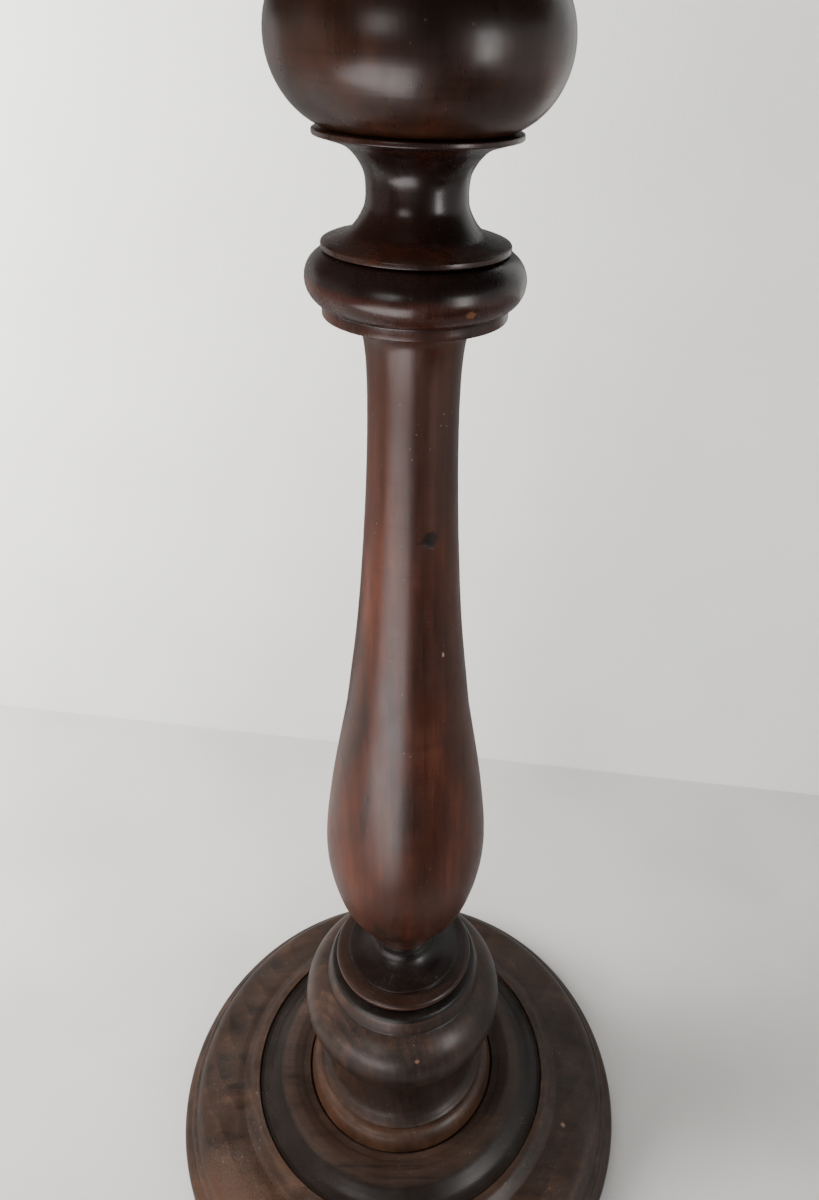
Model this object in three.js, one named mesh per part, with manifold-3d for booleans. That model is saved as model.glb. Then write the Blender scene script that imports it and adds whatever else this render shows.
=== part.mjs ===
// A floor-standing trumpet stand turned in dark stained hardwood. Millimetres, +Z up.
// The origin is on the stand's axis, on the floor, under the middle of the base.
// A moulded round base carries a turned hub, a long trumpet-shaped column, a collar, a hollow-waisted
// neck and a round knop. A slim peg above the knop goes up a trumpet's bell, which sits on the knop.
import * as THREE from "three";
import { mergeVertices } from "three/addons/utils/BufferGeometryUtils.js";
import Module from "manifold-3d";

const wasm = await Module();
wasm.setup();

// Driving dimensions
const BASE_RADIUS = 160;
const PAD_THICKNESS = 2.2; // felt under the base and round the knop
const GAP = 0.3; // between pieces that touch
const STEP_SEAT = 34; // floor of the recess that the step disc sits in
const STEP_RADIUS = 102.7;
const HUB_SEAT = 53.9; // top of the step disc, under the hub
const HUB_TOP = 185.2;
const COLUMN_TOP = 596.8; // shoulder under the collar
const COLLAR_TOP = 620.6;
const NECK_TOP = 659;
const KNOP_TOP = 712;
const KNOP_MIDDLE = 684.8; // height of the knop's widest line
const KNOP_ROUND = 27.2; // radius of the knop's half-round edge
const KNOP_CORE = 23.4; // radius at which that half-round is centred
const PEG_TOP = 862;
const FOOT_TENON = 16; // radius of the column's lower tenon
const HEAD_TENON = 8; // radius of the column's upper tenon and of the peg's
const HEAD_TENON_END = 675.7;
const PEG_TENON_END = 682.3;
const BOLT_RADIUS = 5;
const FOOT_TENON_END = 36.6;
const BASE_UNDERSIDE = PAD_THICKNESS + GAP;
const NUT_POCKET_TOP = 18;
const NUT_POCKET_RADIUS = 18;
const SCREW_POCKET_TOP = 12;
const JOINT_RADIUS = 37.4; // shoulder of the column, set in from the hub
const JOINT_RISE = 2.6; // height of the dark gap that this leaves under the column's bead
const BOLT_CLEARANCE = 0.6; // round the bolt, in the base and the washer
const END_ROOM = 2; // left beyond the tip of a bolt or screw
const PAST = 1; // how far a cutting tool runs past the face that it opens

const TIE_BOLT = { bottom: 5, top: 98, chamfer: 1 };

const SIDES = 32; // facets round a turned piece
const FINE_SIDES = 12; // facets round a fastener
const RAD = Math.PI / 180;

// Materials
const wood = (color, roughness) => new THREE.MeshStandardMaterial({ color, roughness, metalness: 0 });
const steel = (color) => new THREE.MeshStandardMaterial({ color, roughness: 0.45, metalness: 0.9 });
const felt = (color) => new THREE.MeshStandardMaterial({ color, roughness: 0.95, metalness: 0 });
const DARK_WOOD = 0x3b211a;
const RED_WOOD = 0x4a2419;
const ZINC = 0x9a9a96;
const GREEN_FELT = 0x26332a;

const stand = new THREE.Group();

function place(name, geometry, material) {
  const mesh = new THREE.Mesh(geometry, material);
  mesh.name = name;
  stand.add(mesh);
  return mesh;
}

// Outlines are lists of [radius, height] that run up the outside and down the inside.
const at = (radius, height) => new THREE.Vector2(radius, height);

// Part of an ellipse about (radius, height), between two angles in degrees from straight out.
function round(radius, height, across, up, from, to, steps) {
  return Array.from({ length: steps + 1 }, (_, i) => {
    const angle = (from + ((to - from) * i) / steps) * RAD;
    return at(radius + across * Math.cos(angle), height + up * Math.sin(angle));
  });
}

// A smooth line through a few points.
function sweep(points, steps) {
  const curve = new THREE.CatmullRomCurve3(points.map(([r, z]) => new THREE.Vector3(r, z, 0)));
  return curve.getPoints(steps).map((p) => at(p.x, p.y));
}

function turned(outline, sides = SIDES) {
  return new THREE.LatheGeometry(outline, sides).rotateX(Math.PI / 2);
}

// A solid piece's outline starts and ends on the axis, and a bored one's ends where it starts.
const bored = (outline) => [...outline, outline[0].clone()];

function rod(radius, bottom, top, sides = FINE_SIDES) {
  return turned([at(0, bottom), at(radius, bottom), at(radius, top), at(0, top)], sides);
}

// Cutting, with manifold-3d
function solidFrom(geometry) {
  const bare = new THREE.BufferGeometry();
  bare.setAttribute("position", geometry.getAttribute("position"));
  if (geometry.index) bare.setIndex(geometry.index);
  const merged = mergeVertices(bare, 1e-4);
  return new wasm.Manifold(
    new wasm.Mesh({
      numProp: 3,
      vertProperties: new Float32Array(merged.attributes.position.array),
      triVerts: new Uint32Array(merged.index.array),
    }),
  );
}

function cut(geometry, tools) {
  const result = tools.reduce((body, tool) => body.subtract(solidFrom(tool)), solidFrom(geometry));
  const mesh = result.getMesh();
  const made = new THREE.BufferGeometry();
  made.setAttribute("position", new THREE.BufferAttribute(mesh.vertProperties, 3));
  made.setIndex(new THREE.BufferAttribute(mesh.triVerts, 1));
  made.computeVertexNormals();
  return made;
}

// Fasteners that come up through the base: four long screws into the hub, four short into the step disc
const HUB_SCREWS = { name: "hub_screw", ring: 42, turn: 45, radius: 2.5, tip: 77 };
const STEP_SCREWS = { name: "step_screw", ring: 84, turn: 0, radius: 2.1, tip: 50 };
const SCREW_COUNT = 4;
const SCREW_HEAD = { radius: 4.8, height: 3.4, pocket: 6.5 };
const SCREW_SLOT = { width: 1.2, depth: 1.2 };
const SCREW_POINT = 6; // length of a screw's tapered point

function screwPlaces({ ring, turn }) {
  return Array.from({ length: SCREW_COUNT }, (_, i) => {
    const angle = (turn + (360 / SCREW_COUNT) * i) * RAD;
    return [ring * Math.cos(angle), ring * Math.sin(angle)];
  });
}

// The holes that one kind of screw needs in a piece between two heights
function screwHoles(kind, bottom, top) {
  return screwPlaces(kind).map(([x, y]) => rod(kind.radius + GAP, bottom, top).translate(x, y, 0));
}

function screw({ radius, tip }) {
  const seat = SCREW_POCKET_TOP - GAP;
  const head = seat - SCREW_HEAD.height;
  const body = turned(
    [
      at(0, head),
      at(SCREW_HEAD.radius * 0.7, head),
      at(SCREW_HEAD.radius, head + SCREW_HEAD.height * 0.4),
      at(SCREW_HEAD.radius, seat),
      at(radius, seat),
      at(radius, tip - SCREW_POINT),
      at(0, tip),
    ],
    FINE_SIDES,
  );
  const { width, depth } = SCREW_SLOT;
  const slot = new THREE.BoxGeometry(SCREW_HEAD.radius * 3, width, depth * 2).translate(0, 0, head);
  return cut(body, [slot]);
}

// Base: a thick disc with a thumb-moulded edge, a broad swelling top and a recess for the step disc
function baseDisc() {
  const outline = bored([
    at(NUT_POCKET_RADIUS, BASE_UNDERSIDE),
    at(153.6, BASE_UNDERSIDE),
    ...round(150, 12, BASE_RADIUS - 150, 9.4, -58, 58, 6),
    at(153.6, 21.6),
    at(152.4, 25.6),
    at(150.4, 26.2),
    ...sweep([[149.4, 28.6], [146.2, 33.4], [140, 37.4], [123, 42.8], [115.5, 43.8]], 7),
    ...sweep([[111.2, 46.6], [107.6, 49.6], [103.4, 50.7]], 3),
    at(STEP_RADIUS + GAP, 50.2),
    at(STEP_RADIUS + GAP, STEP_SEAT),
    at(BOLT_RADIUS + BOLT_CLEARANCE, STEP_SEAT),
    at(BOLT_RADIUS + BOLT_CLEARANCE, NUT_POCKET_TOP),
    at(NUT_POCKET_RADIUS, NUT_POCKET_TOP),
  ]);
  const pockets = [HUB_SCREWS, STEP_SCREWS].flatMap((kind) => [
    ...screwHoles({ ...kind, radius: SCREW_HEAD.pocket }, -PAST, SCREW_POCKET_TOP),
    ...screwHoles(kind, SCREW_POCKET_TOP - PAST, STEP_SEAT + PAST),
  ]);
  return cut(turned(outline), pockets);
}

// Step disc: the raised inner disc, with a rolled rim round the hub and an ogee down to the base
function stepDisc() {
  const outline = bored([
    at(FOOT_TENON + GAP, STEP_SEAT + GAP),
    at(STEP_RADIUS, STEP_SEAT + GAP),
    at(STEP_RADIUS, 46.2),
    ...sweep([[99.6, 46.2], [95.4, 49.4], [91.6, 54], [86, 57.8]], 6),
    ...sweep([[83, 58.9], [79.3, 59.3], [74.6, 58.2], [72, 55.4]], 5),
    at(67, HUB_SEAT),
    at(FOOT_TENON + GAP, HUB_SEAT),
  ]);
  const holes = [
    ...screwHoles(HUB_SCREWS, STEP_SEAT - PAST, HUB_SEAT + PAST),
    ...screwHoles(STEP_SCREWS, STEP_SEAT - PAST, STEP_SCREWS.tip + END_ROOM),
  ];
  return cut(turned(outline), holes);
}

// Hub: quarter-round foot, hollow waist, big half-round, and a plain band under the column's joint
function hubBlock() {
  const outline = bored([
    at(FOOT_TENON + GAP, HUB_SEAT + GAP),
    at(65, HUB_SEAT + GAP),
    ...round(56.4, 56, 8.6, 14.6, 12, 90, 4),
    at(57.2, 71.2),
    ...sweep([[56, 72], [51.2, 79.6], [47.6, 95], [46.4, 110], [46.8, 119.4]], 6),
    ...round(34.8, 147, 29.6, 29.6, -63, 57, 9),
    at(49.2, 173),
    at(47.6, 180.4),
    at(45.6, 184.4),
    at(43.8, HUB_TOP),
    at(FOOT_TENON + GAP, HUB_TOP),
  ]);
  return cut(turned(outline), screwHoles(HUB_SCREWS, HUB_SEAT - PAST, HUB_SCREWS.tip + END_ROOM));
}

// Column: long tenons at both ends, a bead and flared foot, then the vase that thins to the neck
function columnShaft() {
  const body = turned([
    at(0, FOOT_TENON_END),
    at(FOOT_TENON, FOOT_TENON_END),
    at(FOOT_TENON, HUB_TOP + GAP),
    at(JOINT_RADIUS, HUB_TOP + GAP),
    at(JOINT_RADIUS, HUB_TOP + JOINT_RISE),
    ...round(40, 190.8, 3, 3, -90, 90, 3),
    at(35, 194.2),
    at(35.3, 196.4),
    ...sweep([[34.2, 197.1], [26.4, 199.4], [20.8, 203.4], [18.2, 208]], 4),
    at(19.4, 210),
    at(16.8, 211.8),
    ...sweep([[17.4, 213], [29.4, 236], [39.6, 260], [45, 298], [41, 343], [31.2, 401]], 11),
    ...sweep([[29.8, 412], [24.4, 458.5], [20.3, 516], [18.8, 561], [20, 587], [24.4, COLUMN_TOP - 1]], 9),
    at(24.4, COLUMN_TOP),
    at(HEAD_TENON, COLUMN_TOP),
    at(HEAD_TENON, HEAD_TENON_END),
    at(0, HEAD_TENON_END),
  ]);
  return cut(body, [rod(BOLT_RADIUS + GAP, FOOT_TENON_END - PAST, TIE_BOLT.top + END_ROOM)]);
}

// Collar: a half-round ring with a thin fillet under it
function collarRing() {
  return turned(
    bored([
      at(HEAD_TENON + GAP, COLUMN_TOP + GAP),
      at(35.4, COLUMN_TOP + GAP),
      at(35.4, 599.2),
      ...round(31.2, 610.6, 10.2, 10, -66, 72, 8),
      at(HEAD_TENON + GAP, COLLAR_TOP),
    ]),
  );
}

// Neck: a hollow-waisted spool between two thin discs
function spoolNeck() {
  return turned(
    bored([
      at(HEAD_TENON + GAP, COLLAR_TOP + GAP),
      at(35, COLLAR_TOP + GAP),
      at(35, 623),
      ...sweep([[33.8, 623.5], [24.6, 626.8], [19.4, 633.8], [18.4, 640.4]], 5),
      ...sweep([[18.7, 643.8], [19.6, 647], [25, 653.4], [34, 656.6]], 4),
      at(36.6, 657.2),
      at(36.6, NECK_TOP),
      at(HEAD_TENON + GAP, NECK_TOP),
    ]),
  );
}

// Knop: the round seat that a trumpet's bell sits over
function knop() {
  const body = turned([
    at(0, NECK_TOP + GAP),
    ...round(KNOP_CORE, KNOP_MIDDLE, KNOP_ROUND, KNOP_ROUND, -69, 90, 13),
    at(0, KNOP_TOP),
  ]);
  return cut(body, [
    rod(HEAD_TENON + GAP, NECK_TOP - PAST, HEAD_TENON_END + GAP, SIDES),
    rod(HEAD_TENON + GAP, PEG_TENON_END - GAP, KNOP_TOP + PAST, SIDES),
  ]);
}

// Bell pad: a felt band round the knop's shoulder
function bellPad() {
  const [inner, outer] = [KNOP_ROUND + GAP, KNOP_ROUND + PAD_THICKNESS];
  return turned(
    bored([
      ...round(KNOP_CORE, KNOP_MIDDLE, outer, outer, 40, 68, 4),
      ...round(KNOP_CORE, KNOP_MIDDLE, inner, inner, 68, 40, 4),
    ]),
  );
}

// Peg: a tapered round peg on a small bead, with its tenon down in the knop
function bellPeg() {
  return turned(
    [
      at(0, PEG_TENON_END),
      at(HEAD_TENON, PEG_TENON_END),
      at(HEAD_TENON, KNOP_TOP + GAP),
      at(14, KNOP_TOP + GAP),
      ...round(13.6, 715.6, 3, 3, -60, 80, 4),
      at(12.2, 720.4),
      at(11.8, 724),
      at(7.8, PEG_TOP - 9),
      ...round(0, PEG_TOP - 7.4, 7.6, 7.4, 12, 90, 4),
    ],
    SIDES,
  );
}

function tieBolt() {
  const { bottom, top, chamfer } = TIE_BOLT;
  return turned(
    [
      at(0, bottom),
      at(BOLT_RADIUS - chamfer, bottom),
      at(BOLT_RADIUS, bottom + chamfer),
      at(BOLT_RADIUS, top - 4 * chamfer),
      at(BOLT_RADIUS - 2 * chamfer, top),
      at(0, top),
    ],
    FINE_SIDES,
  );
}

function tieWasher() {
  const [hole, edge] = [BOLT_RADIUS + BOLT_CLEARANCE, 16];
  const [bottom, top] = [15.4, NUT_POCKET_TOP - GAP];
  return turned(bored([at(hole, bottom), at(edge, bottom), at(edge, top), at(hole, top)]), FINE_SIDES * 2);
}

function tieNut() {
  const [acrossCorners, bottom, height] = [19.6, 7.1, 8];
  const hex = new THREE.CylinderGeometry(acrossCorners / 2, acrossCorners / 2, height, 6);
  hex.rotateX(Math.PI / 2).translate(0, 0, bottom + height / 2);
  return cut(hex, [rod(BOLT_RADIUS + GAP, bottom - PAST, bottom + height + PAST)]);
}

place("base_disc", baseDisc(), wood(DARK_WOOD, 0.4));
place("step_disc", stepDisc(), wood(DARK_WOOD, 0.42));
place("hub_block", hubBlock(), wood(DARK_WOOD, 0.36));
place("column_shaft", columnShaft(), wood(RED_WOOD, 0.3));
place("collar_ring", collarRing(), wood(DARK_WOOD, 0.28));
place("spool_neck", spoolNeck(), wood(DARK_WOOD, 0.28));
place("knop", knop(), wood(RED_WOOD, 0.28));
place("bell_pad", bellPad(), felt(GREEN_FELT));
place("bell_peg", bellPeg(), wood(RED_WOOD, 0.35));
place("tie_bolt", tieBolt(), steel(ZINC));
place("tie_washer", tieWasher(), steel(ZINC));
place("tie_nut", tieNut(), steel(ZINC));

for (const kind of [HUB_SCREWS, STEP_SCREWS]) {
  screwPlaces(kind).forEach(([x, y], i) => {
    place(`${kind.name}_${i + 1}`, screw(kind), steel(ZINC)).position.set(x, y, 0);
  });
}

const PADS = { count: 6, ring: 134, radius: 15 };
for (let i = 0; i < PADS.count; i++) {
  const angle = ((i + 0.5) / PADS.count) * 2 * Math.PI;
  const pad = place(`foot_pad_${i + 1}`, rod(PADS.radius, 0, PAD_THICKNESS, 16), felt(GREEN_FELT));
  pad.position.set(PADS.ring * Math.cos(angle), PADS.ring * Math.sin(angle), 0);
}

export default stand;
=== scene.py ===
import math
from collections import namedtuple

import bmesh
import bpy
from mathutils import Matrix, Vector, noise


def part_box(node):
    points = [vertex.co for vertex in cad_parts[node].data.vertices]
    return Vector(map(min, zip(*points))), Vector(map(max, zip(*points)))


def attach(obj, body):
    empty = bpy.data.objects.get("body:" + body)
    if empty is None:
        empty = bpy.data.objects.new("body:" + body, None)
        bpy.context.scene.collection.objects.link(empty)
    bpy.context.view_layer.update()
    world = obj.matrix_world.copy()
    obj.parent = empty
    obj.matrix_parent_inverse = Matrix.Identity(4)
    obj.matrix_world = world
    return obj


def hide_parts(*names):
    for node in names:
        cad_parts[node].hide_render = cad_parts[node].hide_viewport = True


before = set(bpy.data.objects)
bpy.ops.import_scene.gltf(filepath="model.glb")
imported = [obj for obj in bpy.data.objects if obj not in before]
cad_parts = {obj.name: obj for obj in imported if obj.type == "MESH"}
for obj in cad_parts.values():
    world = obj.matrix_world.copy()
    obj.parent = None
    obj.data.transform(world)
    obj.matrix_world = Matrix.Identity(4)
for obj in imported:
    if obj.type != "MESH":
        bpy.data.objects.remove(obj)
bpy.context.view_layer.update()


# ---- Base disc ----------------------------------------------------------------------------------
# A thick hardwood disc, faceplate-turned with a thumb-moulded edge and a broad swelling top. It is
# stained near black-brown and waxed, and has a recess for the step disc and pockets for the screws.

MM = 0.001


def at(radius, height):
    return Vector((radius, height))


def bow(middle, across, up, start, end, steps=14):
    """Part of an ellipse about middle, from one angle to another in degrees, 0 being straight out."""
    angles = [math.radians(start + (end - start) * i / steps) for i in range(steps + 1)]
    return [middle + at(across * math.cos(a), up * math.sin(a)) for a in angles]


def flow(*points, steps=9):
    """A fair curve through a few points."""
    points = [at(*p) for p in points]
    ends = [2 * points[0] - points[1], 2 * points[-1] - points[-2]]
    through = [ends[0], *points, ends[1]]
    curve = []
    for before, here, there, after in zip(through, through[1:], through[2:], through[3:]):
        for i in range(steps):
            t = i / steps
            pull = 2 * here + (there - before) * t
            pull += (2 * before - 5 * here + 4 * there - after) * t * t
            pull += (3 * here - before - 3 * there + after) * t ** 3
            curve.append(pull / 2)
    return curve + [points[-1]]


BLUNT = math.radians(24)  # a bend under this is already smooth


def eased(outline, size, steps=4):
    """The same outline with each arris rubbed round, as sandpaper leaves it."""
    soft = [outline[0]]
    for before, here, after in zip(outline, outline[1:], outline[2:]):
        back, ahead = before - here, after - here
        if min(back.length, ahead.length) < 1e-4:
            continue
        if back.angle(-ahead) < BLUNT:
            soft.append(here)
            continue
        first = here + back.normalized() * min(size, 0.45 * back.length)
        last = here + ahead.normalized() * min(size, 0.45 * ahead.length)
        for i in range(steps + 1):
            t = i / steps
            soft.append(first * (1 - t) ** 2 + here * 2 * t * (1 - t) + last * t * t)
    return soft + [outline[-1]]


def along_line(outline, lengths, distance):
    """The point at that distance along an outline."""
    for i, (start, end) in enumerate(zip(lengths, lengths[1:])):
        if distance <= end:
            share = (distance - start) / max(end - start, 1e-9)
            return outline[i].lerp(outline[i + 1], share)
    return outline[-1].copy()


def proud(outline, reach):
    """How far each point stands out from the line between its neighbours at that reach, -1 to 1."""
    lengths = [0.0]
    for here, there in zip(outline, outline[1:]):
        lengths.append(lengths[-1] + (there - here).length)
    found = []
    for point, distance in zip(outline, lengths):
        behind = along_line(outline, lengths, max(distance - reach, 0))
        before = along_line(outline, lengths, min(distance + reach, lengths[-1]))
        run = before - behind
        outward = at(run.y, -run.x).normalized() if run.length > 1e-6 else at(0, 0)
        found.append((point - (before + behind) / 2).dot(outward) / reach)
    return found


REACHES = (("arris", 2.6), ("swell", 11.0))  # how far along the outline edges and swellings are felt
CREASE = math.radians(50)  # a bend over this stays sharp


def turned(name, outline, sides, ring=False):
    """A turned mesh. The outline is in millimetres and runs up the outside.

    A bored piece is a ring, whose outline ends where it starts.
    """
    mesh = bpy.data.meshes.new(name)
    work = bmesh.new()
    turns = [2 * math.pi * k / sides for k in range(sides)]
    rows = []
    for point in outline[:-1] if ring else outline:
        radius, height = point.x * MM, point.y * MM
        spots = [(radius * math.cos(a), radius * math.sin(a), height) for a in turns]
        rows.append([work.verts.new(spot) for spot in (spots if radius > 1e-7 else spots[:1])])
    pairs = list(zip(rows, rows[1:]))
    if ring:
        pairs.append((rows[-1], rows[0]))
    for low, high in pairs:
        for k in range(sides):
            after = (k + 1) % sides
            corners = [low[k % len(low)], low[after % len(low)]]
            corners += [high[after % len(high)], high[k % len(high)]]
            corners = list(dict.fromkeys(corners))
            if len(corners) > 2:
                work.faces.new(corners)
    counts = [len(row) for row in rows]
    work.to_mesh(mesh)
    work.free()
    for label, reach in REACHES:
        values = proud(outline, reach)
        layer = mesh.attributes.new(label, "FLOAT", "POINT")
        spread = [value for value, count in zip(values, counts) for _ in range(count)]
        layer.data.foreach_set("value", spread)
    mesh.shade_smooth()
    mesh.set_sharp_from_angle(angle=CREASE)
    piece = bpy.data.objects.new(name, mesh)
    bpy.context.scene.collection.objects.link(piece)
    return piece


def rod_cutter(radius, bottom, top, x, y, sides=40):
    cutter = turned("cutter", [at(0, bottom), at(radius, bottom), at(radius, top), at(0, top)], sides)
    cutter.data.transform(Matrix.Translation((x * MM, y * MM, 0)))
    return cutter


def carve(piece, cutters):
    """Cuts the holes or slots, applies the cuts to the mesh and clears the cutters away."""
    for cutter in cutters:
        cut = piece.modifiers.new("cut", "BOOLEAN")
        cut.operation = "DIFFERENCE"
        cut.solver = "EXACT"
        cut.object = cutter
    bpy.context.view_layer.update()
    done = piece.evaluated_get(bpy.context.evaluated_depsgraph_get())
    mesh = bpy.data.meshes.new_from_object(done)
    piece.modifiers.clear()
    piece.data = mesh
    mesh.set_sharp_from_angle(angle=CREASE)
    for cutter in cutters:
        bpy.data.objects.remove(cutter)


def add(tree, kind, inputs=None, **settings):
    """One shader node. An input is a value, or another node's output to link."""
    made = tree.nodes.new("ShaderNode" + kind)
    for key, value in settings.items():
        setattr(made, key, value)
    for key, value in (inputs or {}).items():
        if isinstance(value, bpy.types.NodeSocket):
            tree.links.new(value, made.inputs[key])
        else:
            made.inputs[key].default_value = value
    return made


def calc(tree, operation, first, second=0.0, third=0.0):
    return add(tree, "Math", {0: first, 1: second, 2: third}, operation=operation).outputs[0]


def between(tree, value, low, high, start=0.0, end=1.0):
    """Rises smoothly from start to end while value goes from low to high."""
    inputs = {"Value": value, "From Min": low, "From Max": high, "To Min": start, "To Max": end}
    return add(tree, "MapRange", inputs, interpolation_type="SMOOTHSTEP").outputs["Result"]


def tint(tree, share, first, second, how="MIX"):
    inputs = {0: share, 6: first, 7: second}
    return add(tree, "Mix", inputs, data_type="RGBA", blend_type=how).outputs[2]


def grain_noise(tree, timber, scale, stretch, detail=3.0, roughness=0.55):
    """Noise drawn out along the timber's own length."""
    drawn = add(tree, "Mapping", {"Vector": timber, "Scale": (1, 1, stretch)}).outputs[0]
    inputs = {"Vector": drawn, "Scale": scale, "Detail": detail, "Roughness": roughness}
    return add(tree, "TexNoise", inputs).outputs[0]


STANDING = (0, 0, 0)  # grain up the axis, as in a spindle turning
LYING = (0, math.pi / 2, 0)  # grain across, as in a disc cut from a board


def stained_wood(
    name,
    lie,
    blank,
    deep,
    body,
    bright,
    rubbed,
    polish,
    dusty=0.1,
    figure=1.0,
    cloudy=1.0,
    wear=1.0,
    shade_in_hollows=1.0,
    pitted=1.0,
    bands=(),
    marks=(),
):
    """Stained and waxed hardwood. blank shifts the figure, so that no two pieces come from one place.

    A band is a colour laid between two heights, mostly painted shade: low, high, how soft its ends are,
    how far from the axis it starts (0 for everywhere), and its colour with its strength. A mark is a
    dent, a knot or a broad patch: its place, its size, how it is squeezed along each axis, and its
    colour with its strength. Lengths are in millimetres.
    """
    wood = bpy.data.materials.new(name)
    wood.use_nodes = True
    tree = wood.node_tree
    tree.nodes.clear()
    place = add(tree, "TexCoord").outputs["Object"]
    timber = add(tree, "Mapping", {"Vector": place, "Rotation": lie, "Location": blank}).outputs[0]

    pith = add(tree, "Mapping", {"Vector": timber, "Location": (0.11, 0.06, 0), "Scale": (1, 1, 0.06)})
    rings = add(
        tree,
        "TexWave",
        {"Vector": pith.outputs[0], "Scale": 62.0, "Distortion": 5.0, "Detail": 3.0, "Detail Scale": 0.35},
        wave_type="RINGS",
        rings_direction="Z",
        wave_profile="SAW",
    ).outputs["Fac"]
    blotch = grain_noise(tree, timber, 34, 0.3, 4, 0.6)
    fibre = grain_noise(tree, timber, 620, 0.05, 4, 0.62)
    streak = grain_noise(tree, timber, 150, 0.05, 3, 0.5)
    pores = between(tree, grain_noise(tree, timber, 1500, 0.09, 2), 0.6, 0.72)

    weights = ((blotch, cloudy), (rings, 0.12 * figure), (fibre, 0.30 * figure), (streak, 0.40 * figure))
    shade = 0.5 - 0.5 * sum(weight for _, weight in weights)
    for part, weight in weights:
        shade = calc(tree, "MULTIPLY_ADD", part, weight, shade)
    ramp = add(tree, "ValToRGB", {"Fac": shade})
    ramp.color_ramp.interpolation = "EASE"
    first, last = ramp.color_ramp.elements
    first.position, first.color = 0.34, (*deep, 1)
    last.position, last.color = 0.68, (*bright, 1)
    middle = ramp.color_ramp.elements.new(0.5)
    middle.color = (*body, 1)
    pored = calc(tree, "MULTIPLY", pores, min(1, 0.5 * pitted))
    colour = tint(tree, pored, ramp.outputs["Color"], (*deep, 1))

    # Lathe marks run round the piece, and the stain is rubbed thin on edges. Creases and hollows are
    # darkened with painted shade.
    parts = add(tree, "SeparateXYZ", {"Vector": place}).outputs
    flat = add(tree, "CombineXYZ", {0: parts[0], 1: parts[1], 2: 0.0}).outputs[0]
    out = add(tree, "VectorMath", {0: flat}, operation="LENGTH").outputs["Value"]
    round_line = add(tree, "CombineXYZ", {0: out, 1: parts[2], 2: 0.0}).outputs[0]
    lathe = add(tree, "TexNoise", {"Vector": round_line, "Scale": 520.0, "Detail": 3.0}).outputs[0]
    colour = tint(tree, between(tree, lathe, 0.5, 0.75, 0, 0.35), colour, (*deep, 1))
    patchy = between(tree, grain_noise(tree, timber, 90, 0.6, 4, 0.65), 0.36, 0.62)
    arris = add(tree, "Attribute", attribute_name="arris").outputs["Fac"]
    swell = add(tree, "Attribute", attribute_name="swell").outputs["Fac"]
    on_edges = between(tree, arris, 0.10, 0.5, 0, 0.55 * wear)
    on_swells = between(tree, swell, 0.16, 0.6, 0, 0.4 * wear)
    worn = calc(tree, "ADD", on_edges, on_swells)
    worn = calc(tree, "MULTIPLY", worn, calc(tree, "MULTIPLY_ADD", patchy, 0.75, 0.25))
    colour = tint(tree, calc(tree, "MINIMUM", worn, 1.0), colour, (*rubbed, 1))
    # Painted shade: creases and hollows are darkened towards black.
    painted_crease_shade = between(tree, arris, -0.08, -0.4, 0, 0.4 * shade_in_hollows)
    painted_hollow_shade = between(tree, swell, -0.08, -0.4, 0, 0.55 * shade_in_hollows)
    painted_shade = calc(tree, "MINIMUM", calc(tree, "ADD", painted_crease_shade, painted_hollow_shade), 0.92)
    colour = tint(tree, painted_shade, colour, (*[0.3 * c for c in deep], 1))

    height = calc(tree, "MULTIPLY", parts[2], 1 / MM)
    # Bands, mostly painted shade laid on coves, tops and joints.
    for low, high, soft, reach, laid_colour in bands:
        above = between(tree, height, low - soft, low)
        below = between(tree, height, high + soft, high)
        inside = calc(tree, "MULTIPLY", above, below)
        if reach:
            inside = calc(tree, "MULTIPLY", inside, between(tree, out, (reach - 2) * MM, reach * MM))
        colour = tint(tree, calc(tree, "MULTIPLY", inside, laid_colour[3]), colour, (*laid_colour[:3], 1))

    # Dust lies on what faces up.
    facing = add(tree, "SeparateXYZ", {"Vector": add(tree, "NewGeometry").outputs["Normal"]}).outputs[2]
    lying = between(tree, facing, 0.25, 0.95)
    specks = add(tree, "TexNoise", {"Vector": place, "Scale": 900.0, "Detail": 2.0}).outputs[0]
    clouds = add(tree, "TexNoise", {"Vector": place, "Scale": 45.0, "Detail": 4.0}).outputs[0]
    film = calc(tree, "MULTIPLY", lying, between(tree, clouds, 0.3, 0.7))
    dust = calc(tree, "MULTIPLY", film, between(tree, specks, 0.5, 0.74, 0.2, 1.0))
    colour = tint(tree, calc(tree, "MULTIPLY", dust, dusty), colour, (0.2, 0.185, 0.17, 1))
    cells = add(tree, "TexVoronoi", {"Vector": place, "Scale": 210.0, "Randomness": 1.0}).outputs["Distance"]
    motes = calc(tree, "MULTIPLY", between(tree, cells, 0.10, 0.05), between(tree, clouds, 0.45, 0.6))
    colour = tint(tree, calc(tree, "MULTIPLY", motes, min(1, 4 * dusty)), colour, (0.24, 0.2, 0.165, 1))

    dent = 0.0
    for spot, size, stretch, laid_colour in marks:
        centre = [v * MM for v in spot]
        away = add(tree, "VectorMath", {0: place, 1: centre}, operation="SUBTRACT").outputs[0]
        away = add(tree, "VectorMath", {0: away, 1: stretch}, operation="MULTIPLY").outputs[0]
        ragged = add(tree, "TexNoise", {"Vector": place, "Scale": 700.0, "Detail": 3.0}).outputs[0]
        far = add(tree, "VectorMath", {0: away}, operation="LENGTH").outputs["Value"]
        far = calc(tree, "MULTIPLY_ADD", calc(tree, "SUBTRACT", ragged, 0.5), size * MM * 0.9, far)
        inside = between(tree, far, size * MM, size * MM * 0.45)
        colour = tint(tree, calc(tree, "MULTIPLY", inside, laid_colour[3]), colour, (*laid_colour[:3], 1))
        dent = calc(tree, "ADD", dent, inside)

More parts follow.
